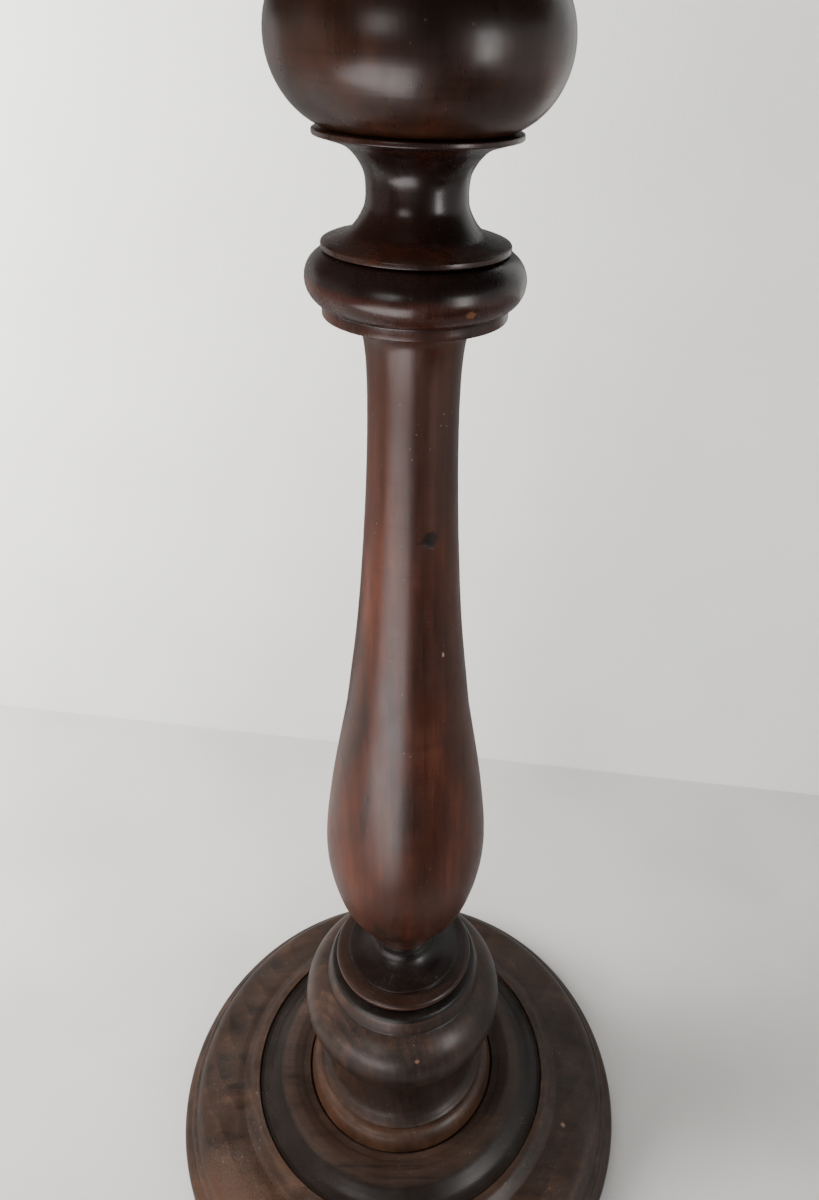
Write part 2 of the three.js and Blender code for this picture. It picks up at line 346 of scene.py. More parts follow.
    gloss = calc(tree, "MULTIPLY_ADD", fibre, 0.10, polish - 0.05)
    gloss = calc(tree, "MULTIPLY_ADD", patchy, 0.05, gloss)
    gloss = calc(tree, "MULTIPLY_ADD", dust, 0.25 * dusty + 0.05, gloss)
    relief = calc(tree, "MULTIPLY_ADD", lathe, 0.6, calc(tree, "MULTIPLY", fibre, 0.5))
    relief = calc(tree, "MULTIPLY_ADD", pores, -0.5 * pitted, relief)
    relief = calc(tree, "MULTIPLY_ADD", dent, -2.0, relief)
    bump = add(tree, "Bump", {"Height": relief, "Strength": 0.35, "Distance": 0.00012}).outputs[0]
    surface = add(tree, "BsdfPrincipled", {"Base Color": colour, "Roughness": gloss, "Normal": bump})
    surface.inputs["Specular IOR Level"].default_value = 0.36
    surface.inputs["Coat Weight"].default_value = 0.05
    surface.inputs["Coat Roughness"].default_value = 0.2
    output = add(tree, "OutputMaterial")
    tree.links.new(surface.outputs[0], output.inputs[0])
    return wood


BODY = "root"  # the stand has no joint, so that every piece rides on one body


def fit_out(piece, node, material):
    """Gives a piece its finish, and puts it on the stand in place of its plain design solid."""
    piece.data.materials.clear()
    piece.data.materials.append(material)
    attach(piece, BODY)
    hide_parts(node)


SIDES = 224  # of a broad turning, which keeps its rim round
GAP = 0.3  # between pieces that touch
OVERCUT = 1  # how far a cutter runs past the face where it goes in
Screws = namedtuple("Screws", "name ring turn radius hole_end")
HUB_SCREWS = Screws("hub_screw", ring=42, turn=45, radius=2.5, hole_end=79)
STEP_SCREWS = Screws("step_screw", ring=84, turn=0, radius=2.1, hole_end=52)
SCREW_COUNT = 4
SCREW_POCKET = (6.5, 12)  # radius, and height of its end
NUT_POCKET = (18, 18)
BOLT = 5  # the tie bolt's radius
BOLT_HOLE = 5.6


def screw_spots(screws):
    angles = [math.radians(screws.turn + 360 / SCREW_COUNT * i) for i in range(SCREW_COUNT)]
    return [(screws.ring * math.cos(a), screws.ring * math.sin(a)) for a in angles]


def screw_holes(screws, bottom, top):
    """Cutters for one set of screws through a piece."""
    return [rod_cutter(screws.radius + GAP, bottom, top, x, y) for x, y in screw_spots(screws)]


base_low, base_high = [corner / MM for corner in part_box("base_disc")]
base_radius = base_high.x
under = base_low.z
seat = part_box("step_disc")[0].z / MM - GAP  # floor of the recess
step_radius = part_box("step_disc")[1].x / MM

base_outline = [
    at(NUT_POCKET[0], under),
    at(base_radius - 6.4, under),
    *bow(at(base_radius - 10, 12), 10, 9.4, -58, 58, 20),
    at(base_radius - 6.4, 21.6),
    at(base_radius - 7.6, 25.6),
    at(base_radius - 9.6, 26.2),
    *flow((149.4, 28.6), (146.2, 33.4), (140, 37.4), (123, 42.8), (115.5, 43.8)),
    *flow((111.2, 46.6), (107.6, 49.6), (103.8, 50.7)),
    at(step_radius + GAP, 50.2),
    at(step_radius + GAP, seat),
    at(BOLT_HOLE, seat),
    at(BOLT_HOLE, NUT_POCKET[1]),
    at(NUT_POCKET[0], NUT_POCKET[1]),
    at(NUT_POCKET[0], under),
]
base = turned("base_turning", eased(base_outline, 0.9), SIDES, ring=True)
pockets = []
for screws in (HUB_SCREWS, STEP_SCREWS):
    for x, y in screw_spots(screws):
        pockets.append(rod_cutter(SCREW_POCKET[0], -OVERCUT, SCREW_POCKET[1], x, y))
        hole = (screws.radius + GAP, SCREW_POCKET[1] - OVERCUT, seat + OVERCUT)
        pockets.append(rod_cutter(*hole, x, y))
carve(base, pockets)
base_wood = stained_wood(
    "base walnut",
    LYING,
    (0.31, 0.02, 0.4),
    deep=(0.010, 0.0056, 0.0040),
    body=(0.022, 0.0112, 0.0070),
    bright=(0.044, 0.0205, 0.0120),
    rubbed=(0.075, 0.036, 0.021),
    polish=0.38,
    dusty=0.11,
    figure=0.9,
    cloudy=0.6,
    wear=0.22,
    shade_in_hollows=0.4,
    pitted=1.8,
    marks=[
        # A broad lighter, redder patch over the front left of the base.
        ((-130, -120, 36), 75, (1, 1, 1), (0.075, 0.035, 0.020, 0.55)),
        ((115.6, -42.2, 42.8), 2.0, (1, 1, 1), (0.22, 0.14, 0.09, 0.6)),
    ],
)
fit_out(base, "base_disc", base_wood)


# ---- Step disc ----------------------------------------------------------------------------------
# The raised inner disc, turned from its own board: an ogee up from the base's recess to a rolled rim,
# then a hollow down to the hub. Glued in, and held by four short screws from below.

FOOT_TENON = 16  # radius of the column's lower tenon
step_low, step_high = [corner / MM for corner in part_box("step_disc")]
hub_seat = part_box("hub_block")[0].z / MM - GAP
tenon_hole = FOOT_TENON + GAP

step_outline = [
    at(tenon_hole, step_low.z),
    at(step_radius, step_low.z),
    at(step_radius, 49.2),
    *flow(
        (100.2, 48.7),
        (95.6, 50.7),
        (91.4, 54.2),
        (86, 57.8),
        (79.3, step_high.z),
        (74.6, 58.2),
        (71, 56.8),
    ),
    at(66.4, 56.3),
    at(66, hub_seat),
    at(tenon_hole, hub_seat),
    at(tenon_hole, step_low.z),
]
step = turned("step_turning", eased(step_outline, 0.7), SIDES, ring=True)
holes = screw_holes(HUB_SCREWS, seat - OVERCUT, hub_seat + OVERCUT)
holes += screw_holes(STEP_SCREWS, seat - OVERCUT, STEP_SCREWS.hole_end)
carve(step, holes)
step_wood = stained_wood(
    "step walnut",
    LYING,
    (0.12, 0.33, 0.1),
    deep=(0.009, 0.0052, 0.0040),
    body=(0.027, 0.0150, 0.0105),
    bright=(0.048, 0.0260, 0.0175),
    rubbed=(0.050, 0.027, 0.017),
    polish=0.38,
    dusty=0.08,
    figure=0.5,
    cloudy=0.6,
    wear=0.4,
    shade_in_hollows=0.3,
    pitted=1.8,
    # Painted shade: the ogee's outer slope down to the recess is darkened nearly black.
    bands=[(40, 56.6, 2.2, 80, (0.0045, 0.0028, 0.0021, 0.85))],
)
fit_out(step, "step_disc", step_wood)


# ---- Hub ----------------------------------------------------------------------------------------
# A spindle turning with a quarter-round foot, a hollow waist and a big half-round, all from one block.
# Four long screws from below pull it down, and the column's tenon runs through it.

hub_low, hub_high = [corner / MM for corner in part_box("hub_block")]
hub_outline = [
    at(tenon_hole, hub_low.z),
    at(65, hub_low.z),
    *bow(at(56.4, 56), 8.6, 14.6, 10, 90, 12),
    at(57.2, 71.2),
    *flow((56, 72), (51.2, 79.6), (47.6, 95), (46.4, 110), (46.8, 119.4)),
    *bow(at(34.8, 147), 29.6, 29.6, -63, 57, 30),
    at(49.2, 173),
    at(47.6, 180.4),
    at(45.6, 184.4),
    at(43.8, hub_high.z),
    at(tenon_hole, hub_high.z),
    at(tenon_hole, hub_low.z),
]
hub = turned("hub_turning", eased(hub_outline, 0.7), 176, ring=True)
carve(hub, screw_holes(HUB_SCREWS, hub_seat - OVERCUT, HUB_SCREWS.hole_end))
hub_wood = stained_wood(
    "hub walnut",
    STANDING,
    (0.02, 0.07, 0.3),
    deep=(0.009, 0.0052, 0.0040),
    body=(0.022, 0.0108, 0.0068),
    bright=(0.046, 0.0215, 0.0125),
    rubbed=(0.09, 0.042, 0.024),
    polish=0.36,
    dusty=0.11,
    figure=0.9,
    cloudy=0.8,
    wear=1.1,
    shade_in_hollows=0.8,
    pitted=1.8,
    bands=[
        (52, 70.4, 1.2, 0, (0.095, 0.041, 0.021, 0.14)),
        # Painted shade: the waist under the big half-round is darkened.
        (77, 112, 7, 0, (0.008, 0.0045, 0.0033, 0.4)),
        # Painted shadow: the hub's top under the column's bead is blackened.
        (182.4, 190, 1.0, 0, (0.002, 0.0014, 0.0012, 0.95)),
    ],
    marks=[((9.5, -59.4, 162.3), 1.7, (1, 1, 1), (0.22, 0.095, 0.065, 0.6))],
)
fit_out(hub, "hub_block", hub_wood)


# ---- Column -------------------------------------------------------------------------------------
# The long vase-shaped shaft, turned between centres from a redder blank, with tenons at both ends.
# Its flared foot ends in a bead over an open joint, blackened with painted shadow. It has one pin knot, a
# dark dent and a small nick.

HEAD_TENON = 8  # radius of its upper tenon
BOLT_HOLE_END = 100
column_low, column_high = [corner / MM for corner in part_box("column_shaft")]
shoulder = hub_high.z + GAP
collar_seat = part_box("collar_ring")[0].z / MM - GAP
column_outline = [
    at(0, column_low.z),
    at(FOOT_TENON, column_low.z),
    at(FOOT_TENON, shoulder),
    at(37.4, shoulder),
    at(37.4, shoulder + 2.3),
    *bow(at(40, 190.8), 3, 3, -90, 90, 10),
    at(35, 194.2),
    at(35.3, 196.4),
    *flow((34.2, 197.1), (26.4, 199.4), (20.8, 203.4), (18.2, 208)),
    at(19.4, 210),
    at(16.8, 211.8),
    *flow((17.4, 213), (29.4, 236), (39.6, 260), (45, 298), (41, 343), (31.2, 401), steps=14),
    *flow(
        (29.8, 412),
        (24.4, 458.5),
        (20.3, 516),
        (18.8, 561),
        (20, 587),
        (24.4, collar_seat - 1),
        steps=12,
    ),
    at(24.4, collar_seat),
    at(HEAD_TENON, collar_seat),
    at(HEAD_TENON, column_high.z),
    at(0, column_high.z),
]
column = turned("column_turning", eased(column_outline, 0.5), 144)
carve(column, [rod_cutter(BOLT + GAP, column_low.z - OVERCUT, BOLT_HOLE_END, 0, 0)])
column_wood = stained_wood(
    "column mahogany",
    STANDING,
    (0.05, 0.01, 0.02),
    deep=(0.017, 0.0046, 0.0020),
    body=(0.040, 0.0090, 0.0030),
    bright=(0.074, 0.0160, 0.0050),
    rubbed=(0.075, 0.028, 0.013),
    polish=0.32,
    figure=0.65,
    cloudy=0.9,
    wear=0.5,
    bands=[
        # Painted shadow: the open joint under the bead is blackened.
        (170, 189.0, 0.8, 0, (0.002, 0.0014, 0.0012, 0.95)),
        (189.4, 191.4, 0.6, 0, (0.034, 0.0135, 0.0070, 0.5)),
        # Painted shade: the bead's upper half is darkened.
        (192.0, 194.4, 0.5, 0, (0.010, 0.0048, 0.0034, 0.85)),
        # Painted shade: the flared foot's hollow under the vase is blackened.
        (195.6, 211.5, 1.2, 0, (0.0035, 0.0015, 0.0011, 0.96)),
        (540, 610, 60, 0, (0.016, 0.0050, 0.0024, 0.5)),
    ],
    marks=[
        ((8.0, -19.0, 508.3), 4.6, (1, 1, 0.9), (0.006, 0.004, 0.0035, 0.9)),
        ((5.0, -20.0, 507.2), 2.0, (0.6, 1, 1.1), (0.012, 0.007, 0.006, 0.6)),
        ((-19.8, -32.0, 363.4), 1.7, (1.4, 1, 0.5), (0.012, 0.008, 0.006, 0.9)),
        ((15.7, -20.0, 447.6), 0.9, (1, 1, 0.6), (0.35, 0.25, 0.17, 0.8)),
    ],
)
fit_out(column, "column_shaft", column_wood)


# ---- Collar -------------------------------------------------------------------------------------
# A half-round ring with a thin fillet under it, slipped over the column's upper tenon and glued.

collar_low, collar_high = [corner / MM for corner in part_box("collar_ring")]
head_hole = HEAD_TENON + GAP
collar_outline = [
    at(head_hole, collar_low.z),
    at(35.4, collar_low.z),
    at(35.4, 599.2),
    *bow(at(31.2, 610.6), 10.2, 10, -66, 72, 26),
    at(head_hole, collar_high.z),
    at(head_hole, collar_low.z),
]
collar = turned("collar_turning", eased(collar_outline, 0.5), 160, ring=True)
collar_wood = stained_wood(
    "collar walnut",
    STANDING,
    (0.4, 0.12, 0.22),
    deep=(0.006, 0.0025, 0.0017),
    body=(0.025, 0.0066, 0.0034),
    bright=(0.052, 0.0125, 0.0054),
    rubbed=(0.045, 0.020, 0.014),
    polish=0.25,
    dusty=0.03,
    figure=0.3,
    cloudy=0.6,
    wear=0.12,
    pitted=0.0,
    # Painted shade: the ring's top under the neck is darkened.
    bands=[(613.5, 640, 3.0, 0, (0.004, 0.0024, 0.002, 0.85))],
    marks=[((19.1, -36.0, 607.1), 2.5, (1, 1, 1.4), (0.20, 0.075, 0.032, 0.5))],
)
fit_out(collar, "collar_ring", collar_wood)


# ---- Neck ---------------------------------------------------------------------------------------
# A hollow-waisted spool between two thin discs, on the same tenon as the collar.

neck_low, neck_high = [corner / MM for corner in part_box("spool_neck")]
neck_outline = [
    at(head_hole, neck_low.z),
    at(35, neck_low.z),
    at(35, 623),
    *flow((33.8, 623.5), (24.6, 626.8), (19.4, 633.8), (18.4, 640.4), (19.6, 647), (25, 653.4), (34, 656.6)),
    at(36.6, 657.2),
    at(36.6, neck_high.z),
    at(head_hole, neck_high.z),
    at(head_hole, neck_low.z),
]
neck = turned("neck_turning", eased(neck_outline, 0.5), 160, ring=True)
neck_wood = stained_wood(
    "neck walnut",
    STANDING,
    (0.21, 0.45, 0.05),
    deep=(0.0040, 0.0020, 0.0015),
    body=(0.0130, 0.0042, 0.0024),
    bright=(0.034, 0.0085, 0.0040),
    rubbed=(0.035, 0.020, 0.015),
    polish=0.25,
    dusty=0.03,
    figure=0.3,
    cloudy=0.6,
    wear=0.25,
    pitted=0.0,
)
fit_out(neck, "spool_neck", neck_wood)


# ---- Knop ---------------------------------------------------------------------------------------
# The round seat that the bell's mouth comes down over, turned from the column's redder timber.
# The column's tenon is glued in from below and the peg's from above.

knop_low, knop_high = [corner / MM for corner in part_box("knop")]
KNOP_MIDDLE = 684.8
KNOP_ROUND = knop_high.z - KNOP_MIDDLE
KNOP_CORE = at(knop_high.x - KNOP_ROUND, KNOP_MIDDLE)
column_end = column_high.z + GAP
peg_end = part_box("bell_peg")[0].z / MM - GAP
knop_outline = [
    at(0, column_end),
    at(head_hole, column_end),
    at(head_hole, knop_low.z),
    *bow(KNOP_CORE, KNOP_ROUND, KNOP_ROUND, -69, 90, 56),
    at(head_hole, knop_high.z),
    at(head_hole, peg_end),
    at(0, peg_end),
]
knop = turned("knop_turning", eased(knop_outline, 0.5), 192)
knop_wood = stained_wood(
    "knop mahogany",
    STANDING,
    (0.33, 0.21, 0.47),
    deep=(0.0075, 0.0032, 0.0020),
    body=(0.021, 0.0075, 0.0040),
    bright=(0.040, 0.0125, 0.0060),
    rubbed=(0.035, 0.014, 0.009),
    polish=0.28,
    dusty=0.03,
    figure=0.3,
    cloudy=0.9,
    wear=0.0,
    pitted=0.0,
    # Painted shade: the top of the round is darkened, in place of the dark room it would reflect.
    bands=[(692, 740, 14, 0, (0.005, 0.0024, 0.0016, 0.7))],
)
fit_out(knop, "knop", knop_wood)


# ---- Bell pad -----------------------------------------------------------------------------------
# A band of dark green wool felt glued round the knop's shoulder, so that the brass doesn't touch wood.

def felt(name, colour):
    cloth = bpy.data.materials.new(name)
    cloth.use_nodes = True
    tree = cloth.node_tree
    tree.nodes.clear()
    place = add(tree, "TexCoord").outputs["Object"]
    bend = add(tree, "TexNoise", {"Vector": place, "Scale": 260.0, "Detail": 2.0})
    swirl = add(tree, "VectorMath", {0: bend.outputs["Color"], "Scale": 0.004}, operation="SCALE")
    swirled = add(tree, "VectorMath", {0: place, 1: swirl.outputs[0]}, operation="ADD").outputs[0]
    hairs = add(tree, "TexNoise", {"Vector": swirled, "Scale": 2600.0, "Detail": 4.0, "Roughness": 0.7})
    mottle = add(tree, "TexNoise", {"Vector": place, "Scale": 130.0, "Detail": 3.0}).outputs[0]
    pale = tuple(2.2 * c + 0.003 for c in colour)
    blend = tint(tree, between(tree, hairs.outputs[0], 0.4, 0.75), (*colour, 1), (*pale, 1))
    dark = (*[0.45 * c for c in colour], 1)
    shade = tint(tree, between(tree, mottle, 0.45, 0.7, 0, 0.6), blend, dark)
    height = calc(tree, "ADD", hairs.outputs[0], calc(tree, "MULTIPLY", mottle, 0.8))
    bump = add(tree, "Bump", {"Height": height, "Strength": 0.7, "Distance": 0.0004}).outputs[0]
    rough = between(tree, hairs.outputs[0], 0.2, 0.8, 0.88, 1.0)
    surface = add(tree, "BsdfPrincipled", {"Base Color": shade, "Roughness": rough, "Normal": bump})
    surface.inputs["Sheen Weight"].default_value = 0.06
    surface.inputs["Sheen Roughness"].default_value = 0.5
    surface.inputs["Specular IOR Level"].default_value = 0.2
    output = add(tree, "OutputMaterial")
    tree.links.new(surface.outputs[0], output.inputs[0])
    return cloth


def fuzz(piece, depth, scale):
    """Presses an uneven, fluffy surface into a felt piece, inwards only."""
    mesh = piece.data
    normals = [v.normal.copy() for v in mesh.vertices]
    for v, normal in zip(mesh.vertices, normals):
        v.co -= normal * depth * MM * (0.5 + 0.5 * noise.noise(v.co * scale))
    mesh.update()


green_felt = felt("green felt", (0.010, 0.022, 0.014))
felt_thickness = 2.2
band_low, band_high = 40, 68  # angles up the knop's round
inner = KNOP_ROUND + GAP
outer = KNOP_ROUND + felt_thickness
band_outline = [
    *bow(KNOP_CORE, outer, outer, band_low, band_high, 16),
    *bow(KNOP_CORE, inner, inner, band_high, band_low, 8),
]
band_outline.append(band_outline[0].copy())
band = turned("bell_pad_felt", eased(band_outline, 0.5), 288, ring=True)
fuzz(band, 0.22, 420)
fit_out(band, "bell_pad", green_felt)


# ---- Peg ----------------------------------------------------------------------------------------
# A slim tapered peg on a small bead. It goes up the bell's throat and keeps the horn upright.

peg_low, peg_high = [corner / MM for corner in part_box("bell_peg")]
peg_seat = knop_high.z + GAP
peg_outline = [
    at(0, peg_low.z),
    at(HEAD_TENON, peg_low.z),
    at(HEAD_TENON, peg_seat),
    at(14, peg_seat),
    *bow(at(13.6, 715.6), 3, 3, -60, 80, 12),
    *flow((12.2, 720.4), (11.8, 724), (10.6, 772), (9.2, 815), (7.8, peg_high.z - 9)),
    *bow(at(0, peg_high.z - 7.4), 7.6, 7.4, 10, 90, 12),
]
peg = turned("peg_turning", eased(peg_outline, 0.4), 96)
peg_wood = stained_wood(
    "peg mahogany",
    STANDING,
    (0.15, 0.3, 0.6),
    deep=(0.017, 0.0052, 0.0026),
    body=(0.042, 0.0115, 0.0050),
    bright=(0.080, 0.021, 0.0085),
    rubbed=(0.09, 0.034, 0.018),
    polish=0.33,
)
fit_out(peg, "bell_peg", peg_wood)


# ---- Tie bolt, washer and nut -------------------------------------------------------------------
# A plated steel rod screwed up into the column's tenon. The washer and nut in the base's pocket draw
# the column, hub, step and base together.

def plated_steel(name):
    metal = bpy.data.materials.new(name)
    metal.use_nodes = True
    tree = metal.node_tree
    tree.nodes.clear()
    place = add(tree, "TexCoord").outputs["Object"]
    grains = add(tree, "TexVoronoi", {"Vector": place, "Scale": 700.0}).outputs["Color"]
    cloud = add(tree, "TexNoise", {"Vector": place, "Scale": 160.0, "Detail": 4.0}).outputs[0]
    scuff = add(tree, "TexNoise", {"Vector": place, "Scale": 2200.0, "Detail": 2.0}).outputs[0]
    shade = tint(tree, between(tree, cloud, 0.35, 0.7), (0.56, 0.56, 0.54, 1), (0.40, 0.39, 0.35, 1))
    shade = tint(tree, 0.12, shade, grains, "OVERLAY")
    shade = tint(tree, between(tree, scuff, 0.62, 0.75, 0, 0.6), shade, (0.17, 0.14, 0.11, 1))
    rough = between(tree, cloud, 0.3, 0.7, 0.28, 0.5)
    bump = add(tree, "Bump", {"Height": scuff, "Strength": 0.25, "Distance": 0.0001}).outputs[0]
    surface = add(tree, "BsdfPrincipled", {"Base Color": shade, "Roughness": rough, "Normal": bump})
    surface.inputs["Metallic"].default_value = 1.0
    output = add(tree, "OutputMaterial")
    tree.links.new(surface.outputs[0], output.inputs[0])
    return metal


def threaded(name, outline, pitch, depth, bottom, top, sides):
    """A turned rod whose surface between two heights is cut with a screw thread."""
    lines = []
    for low, high in zip(outline, outline[1:]):
        count = 1
        if low.x > 0 and high.x > 0 and high.y > bottom and low.y < top and high.y - low.y > pitch:
            count = math.ceil((high.y - low.y) / (pitch / 6))
        lines += [low.lerp(high, i / count) for i in range(count)]
    lines.append(outline[-1])
    rod = turned(name, lines, sides)
    for v in rod.data.vertices:
        height = v.co.z / MM
        radius = math.hypot(v.co.x, v.co.y)
        if radius > 1e-6 and bottom < height < top:
            turn = (height / pitch - math.atan2(v.co.y, v.co.x) / (2 * math.pi)) % 1.0
            groove = abs(2 * turn - 1)
            share = 1 - depth * MM * groove / radius
            v.co.x *= share
            v.co.y *= share
    rod.data.set_sharp_from_angle(angle=math.radians(40))
    return rod


zinc = plated_steel("zinc plated steel")
BOLT_THREAD = 38  # length of the threaded end
bolt_low, bolt_high = [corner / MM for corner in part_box("tie_bolt")]
bolt_outline = [
    at(0, bolt_low.z),
    at(BOLT - 1, bolt_low.z),
    at(BOLT, bolt_low.z + 1),
    at(BOLT, bolt_low.z + BOLT_THREAD),
    at(BOLT, bolt_high.z - 30),
    at(BOLT, bolt_high.z - 4),
    at(BOLT - 2, bolt_high.z),
    at(0, bolt_high.z),
]
thread_end = bolt_low.z + BOLT_THREAD
bolt = threaded("tie_bolt_rod", bolt_outline, 1.5, 0.8, bolt_low.z + 1, thread_end, 48)
fit_out(bolt, "tie_bolt", zinc)

washer_low, washer_high = [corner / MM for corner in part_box("tie_washer")]
washer_outline = [
    at(BOLT_HOLE, washer_low.z),
    at(washer_high.x, washer_low.z),
    at(washer_high.x, washer_high.z),
    at(BOLT_HOLE, washer_high.z),
    at(BOLT_HOLE, washer_low.z),
]
washer = turned("tie_washer_plate", eased(washer_outline, 0.35), 96, ring=True)
fit_out(washer, "tie_washer", zinc)

nut_low, nut_high = [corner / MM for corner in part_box("tie_nut")]
nut_reach = (nut_high.y - nut_low.y) / 2
nut_flat = (nut_high.x - nut_low.x) / 2
nut_corner = max(nut_reach, nut_flat)
nut_face = nut_corner * 0.86  # inside its bevelled edge
NUT_BEVEL = 1.2
nut_outline = [
    at(BOLT + GAP, nut_low.z),
    at(nut_face, nut_low.z),
    at(nut_corner, nut_low.z + NUT_BEVEL),
    at(nut_corner, nut_high.z - NUT_BEVEL),
    at(nut_face, nut_high.z),
    at(BOLT + GAP, nut_high.z),
    at(BOLT + GAP, nut_low.z),
]
nut = turned("tie_nut_hex", nut_outline, 96, ring=True)
corner_turn = 0 if nut_flat >= nut_reach else math.pi / 6
for v in nut.data.vertices:
    radius = math.hypot(v.co.x, v.co.y)
    angle = (math.atan2(v.co.y, v.co.x) - corner_turn) % (math.pi / 3) - math.pi / 6
    flat = nut_corner * MM * math.cos(math.pi / 6) / math.cos(angle)
    if radius > flat:
        v.co.x *= flat / radius
        v.co.y *= flat / radius
nut.data.set_sharp_from_angle(angle=math.radians(20))
fit_out(nut, "tie_nut", zinc)


# ---- Wood screws --------------------------------------------------------------------------------
# Slotted plated screws, sunk in pockets in the base's underside: four long ones hold the hub and four
# short ones the step disc.

HEAD = 4.8  # a head's radius
HEAD_TOP = SCREW_POCKET[1] - GAP
SHANK = 7  # plain length under the head
POINT = 6
SLOT = (0.0144, 0.0012, 0.0024)  # length, width and twice the depth, in metres
FIRST_STOP, NEXT_STOP = 0.7, 1.9  # where each slot came to rest, in radians

for screws in (HUB_SCREWS, STEP_SCREWS):
    for i, (x, y) in enumerate(screw_spots(screws)):
        node = f"{screws.name}_{i + 1}"
        low, high = [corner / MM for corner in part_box(node)]
        outline = [
            at(0, low.z),
            at(HEAD * 0.55, low.z),
            *bow(at(HEAD * 0.7, low.z + 1.36), HEAD * 0.3, 1.3, -80, 0, 5),
            at(HEAD, HEAD_TOP),
            at(screws.radius, HEAD_TOP),
            at(screws.radius, HEAD_TOP + SHANK),
            at(screws.radius, high.z - POINT),
            at(0, high.z),
        ]
        screw = threaded(f"{node}_threaded", outline, 2.0, 0.7, HEAD_TOP + SHANK, high.z - POINT, 32)
        slot = bmesh.new()
        bmesh.ops.create_cube(slot, size=1)
        bmesh.ops.scale(slot, vec=SLOT, verts=slot.verts)
        bmesh.ops.rotate(slot, matrix=Matrix.Rotation(FIRST_STOP + NEXT_STOP * i, 3, "Z"), verts=slot.verts)
        bmesh.ops.translate(slot, vec=(0, 0, low.z * MM), verts=slot.verts)
        blade = bpy.data.meshes.new("blade")
        slot.to_mesh(blade)
        slot.free()
        cutter = bpy.data.objects.new("blade", blade)
        bpy.context.scene.collection.objects.link(cutter)
        carve(screw, [cutter])
        screw.data.transform(Matrix.Translation((x * MM, y * MM, 0)))
        fit_out(screw, node, zinc)


# ---- Foot pads ----------------------------------------------------------------------------------
# Six round felt pads glued under the base's rim, all ending on the floor.

PAD_COUNT = 6

for i in range(PAD_COUNT):
    node = f"foot_pad_{i + 1}"
    low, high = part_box(node)
    middle = (low + high) / 2
    pad_radius = (high.x - low.x) / 2 / MM
    outline = [
        at(0, 0),
        *[at(pad_radius * k / 12, 0) for k in range(1, 12)],
        at(pad_radius - 0.3, 0),
        at(pad_radius, 0.5),
        at(pad_radius, high.z / MM - 0.4),
        at(pad_radius - 0.4, high.z / MM),
        *[at(pad_radius * k / 8, high.z / MM) for k in range(7, -1, -1)],
    ]
    pad = turned(f"{node}_felt", eased(outline, 0.3), 96)
    fuzz(pad, 0.12, 500)
    pad.data.transform(Matrix.Translation((middle.x, middle.y, 0)))
    fit_out(pad, node, green_felt)


# ---- Floor, backdrop and lights -----------------------------------------------------------------
# A plain pale painted floor and a white board behind, both seen from their front only. Dimmer sheets just
# before them take their place in the polish, as a darker room would. Five soft lamps only light the scene,
# and five only show in the polish: two windows, a haze at each side and a glow off the floor.

def sheet_of(name, corners):
    mesh = bpy.data.meshes.new(name)
    work = bmesh.new()
    work.faces.new([work.verts.new(c) for c in corners])
    work.to_mesh(mesh)
    work.free()
    made = bpy.data.objects.new(name, mesh)
    bpy.context.scene.collection.objects.link(made)
    return made


def paint(name, pale, shadow):
    coat = bpy.data.materials.new(name)
    coat.use_nodes = True
    tree = coat.node_tree
    tree.nodes.clear()
    place = add(tree, "TexCoord").outputs["Object"]
    broad = add(tree, "TexNoise", {"Vector": place, "Scale": 7.0, "Detail": 5.0}).outputs[0]
    fine = add(tree, "TexNoise", {"Vector": place, "Scale": 320.0, "Detail": 3.0}).outputs[0]
    shade = tint(tree, between(tree, broad, 0.35, 0.75), (*pale, 1), (*shadow, 1))
    bump = add(tree, "Bump", {"Height": fine, "Strength": 0.25, "Distance": 0.0006}).outputs[0]
    surface = add(tree, "BsdfPrincipled", {"Base Color": shade, "Normal": bump})
    surface.inputs["Roughness"].default_value = 0.7
    surface.inputs["Specular IOR Level"].default_value = 0.25
    behind = add(tree, "NewGeometry").outputs["Backfacing"]
    clear = add(tree, "BsdfTransparent").outputs[0]
    seen = add(tree, "MixShader", {0: behind, 1: surface.outputs[0], 2: clear}).outputs[0]
    output = add(tree, "OutputMaterial")
    tree.links.new(seen, output.inputs[0])
    return coat


FLOOR_REACH = 4.0
FLOOR_FRONT = -0.3  # in front of this the floor doesn't show in polished surfaces
BOARD_BACK = 0.375  # distance behind the stand's axis
BOARD_TURN = math.radians(-7.8)
BOARD_REACH = 1.6  # to each side
BOARD_HEIGHT = 0.78
SPLIT = 0.2  # where the polish's dark left part of the board meets its paler right part
PALE_FROM, PALE_TO = 0.45, 0.95  # heights of the palest part


def floor_from(name, near):
    reach = FLOOR_REACH
    return sheet_of(name, [(-reach, near, 0), (reach, near, 0), (reach, reach, 0), (-reach, reach, 0)])


def board_part(name, left, right, low, high):
    part = sheet_of(name, [(left, 0, low), (right, 0, low), (right, 0, high), (left, 0, high)])
    part.data.transform(Matrix.Translation((0, BOARD_BACK, 0)) @ Matrix.Rotation(BOARD_TURN, 4, "Z"))
    return part


def only_reflected(sheet, value):
    """A dimmer sheet that stands in for a bright one in the polish, as the far room would."""
    sheet.data.materials.append(paint(sheet.name, (value, value, value), (value, value, value)))
    sheet.data.transform(Matrix.Translation(sheet.data.polygons[0].normal * MM))  # clear of the bright one
    sheet.visible_camera = False
    sheet.visible_diffuse = False
    sheet.visible_shadow = False


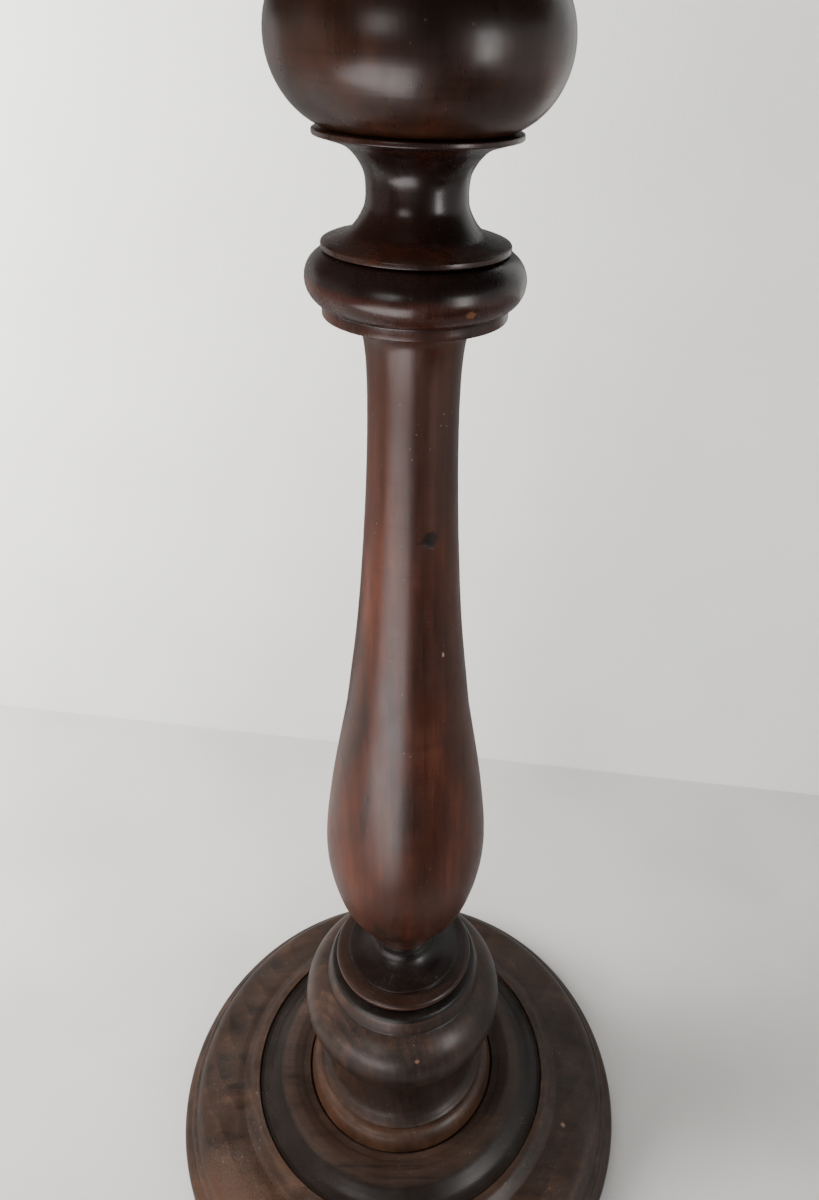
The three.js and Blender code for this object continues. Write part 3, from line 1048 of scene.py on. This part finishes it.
floor = floor_from("floor", -FLOOR_REACH)
floor.data.materials.append(paint("floor paint", (0.51, 0.503, 0.49), (0.46, 0.452, 0.44)))
board = board_part("board", -BOARD_REACH, BOARD_REACH, 0, BOARD_HEIGHT)
board.data.materials.append(paint("board paint", (0.78, 0.775, 0.76), (0.74, 0.735, 0.72)))
for sheet in (floor, board):
    sheet.visible_glossy = False
only_reflected(floor_from("dim_floor", FLOOR_FRONT), 0.24)
only_reflected(board_part("dim_board_left", -BOARD_REACH, SPLIT, 0, BOARD_HEIGHT), 0.12)
only_reflected(board_part("dim_board_right", SPLIT, BOARD_REACH, 0, PALE_FROM), 0.26)
only_reflected(board_part("dim_board_above", SPLIT, BOARD_REACH, PALE_FROM, PALE_TO), 0.72)


def soft_light(name, place, size, power, colour, aim, lights=True, shows=True):
    """A flat soft light. Without lights it only shows in the polish, and without shows it only lights."""
    lamp = bpy.data.lights.new(name, "AREA")
    lamp.shape = "RECTANGLE"
    lamp.size, lamp.size_y = size
    lamp.energy = power
    lamp.color = colour
    holder = bpy.data.objects.new(name, lamp)
    holder.location = place
    holder.rotation_mode = "QUATERNION"
    holder.rotation_quaternion = (Vector(aim) - holder.location).to_track_quat("-Z", "Y")
    holder.visible_camera = False
    holder.visible_diffuse = lights
    holder.visible_glossy = shows
    bpy.context.scene.collection.objects.link(holder)


def beside(azimuth, distance, height):
    """A place round the stand: the azimuth is in degrees from straight in front, rightwards."""
    a = math.radians(azimuth)
    return (distance * math.sin(a), -distance * math.cos(a), height)


MID = (0, 0, 0.45)
DAY = (1.0, 0.99, 0.97)
soft_light("key", beside(-27, 1.6, 0.76), (0.6, 0.6), 8.5, DAY, MID, shows=False)
soft_light("fill", beside(22, 1.0, 0.4), (0.8, 0.7), 6.5, DAY, (0, 0, 0.35), shows=False)
soft_light("right side", beside(98, 1.1, 0.5), (0.6, 0.7), 6, DAY, MID, shows=False)
soft_light("side", (-0.95, -0.05, 0.9), (0.5, 0.7), 42, DAY, (-0.64, 0.45, 0.5), shows=False)
soft_light("top", (-0.6, -0.1, 2.2), (1.4, 1.4), 12, DAY, (-0.2, 0.1, 0), shows=False)
soft_light("haze left", beside(-84, 1.2, 0.5), (1.0, 1.0), 1.2, DAY, MID, lights=False)
soft_light("haze right", beside(82, 1.2, 0.5), (1.3, 1.0), 2.6, DAY, MID, lights=False)
soft_light("window left", beside(-28, 4.0, 1.9), (1.5, 1.4), 30, DAY, MID, lights=False)
soft_light("window right", beside(48, 1.5, 0.62), (0.38, 0.8), 9.5, (1.0, 0.99, 0.98), MID, lights=False)
glow = (-0.56, -0.85, 0.02)
above_glow = (-0.56, -0.85, 1)
soft_light("floor glow", glow, (0.98, 0.9), 21, (1.0, 0.96, 0.96), above_glow, lights=False)
room = bpy.data.worlds.new("room")
room.use_nodes = True
room.node_tree.nodes["Background"].inputs["Color"].default_value = (0.9, 0.95, 1.0, 1)
room.node_tree.nodes["Background"].inputs["Strength"].default_value = 0.05
bpy.context.scene.world = room


# ---- Camera -------------------------------------------------------------------------------------
# Close in front, level with the knop and looking down, so that the base lies below and the peg is cut off.

EYE = (0.0, -0.3324, 0.6928)
PITCH, YAW, ROLL = math.radians(34.53), math.radians(2.19), math.radians(2.29)
ahead = Vector((math.sin(YAW) * math.cos(PITCH), math.cos(YAW) * math.cos(PITCH), -math.sin(PITCH)))
level = Vector((math.cos(YAW), -math.sin(YAW), 0))
upward = level.cross(ahead)
across = math.cos(ROLL) * level + math.sin(ROLL) * upward
upright = math.cos(ROLL) * upward - math.sin(ROLL) * level
lens = bpy.data.cameras.new("camera")
lens.sensor_width = 36
lens.lens = 25.78
lens.shift_x = -0.0229
lens.shift_y = 0.0008
lens.clip_start = 0.01
camera = bpy.data.objects.new("camera", lens)
camera.matrix_world = Matrix.Translation(EYE) @ Matrix((across, upright, -ahead)).transposed().to_4x4()
bpy.context.scene.collection.objects.link(camera)
bpy.context.scene.camera = camera
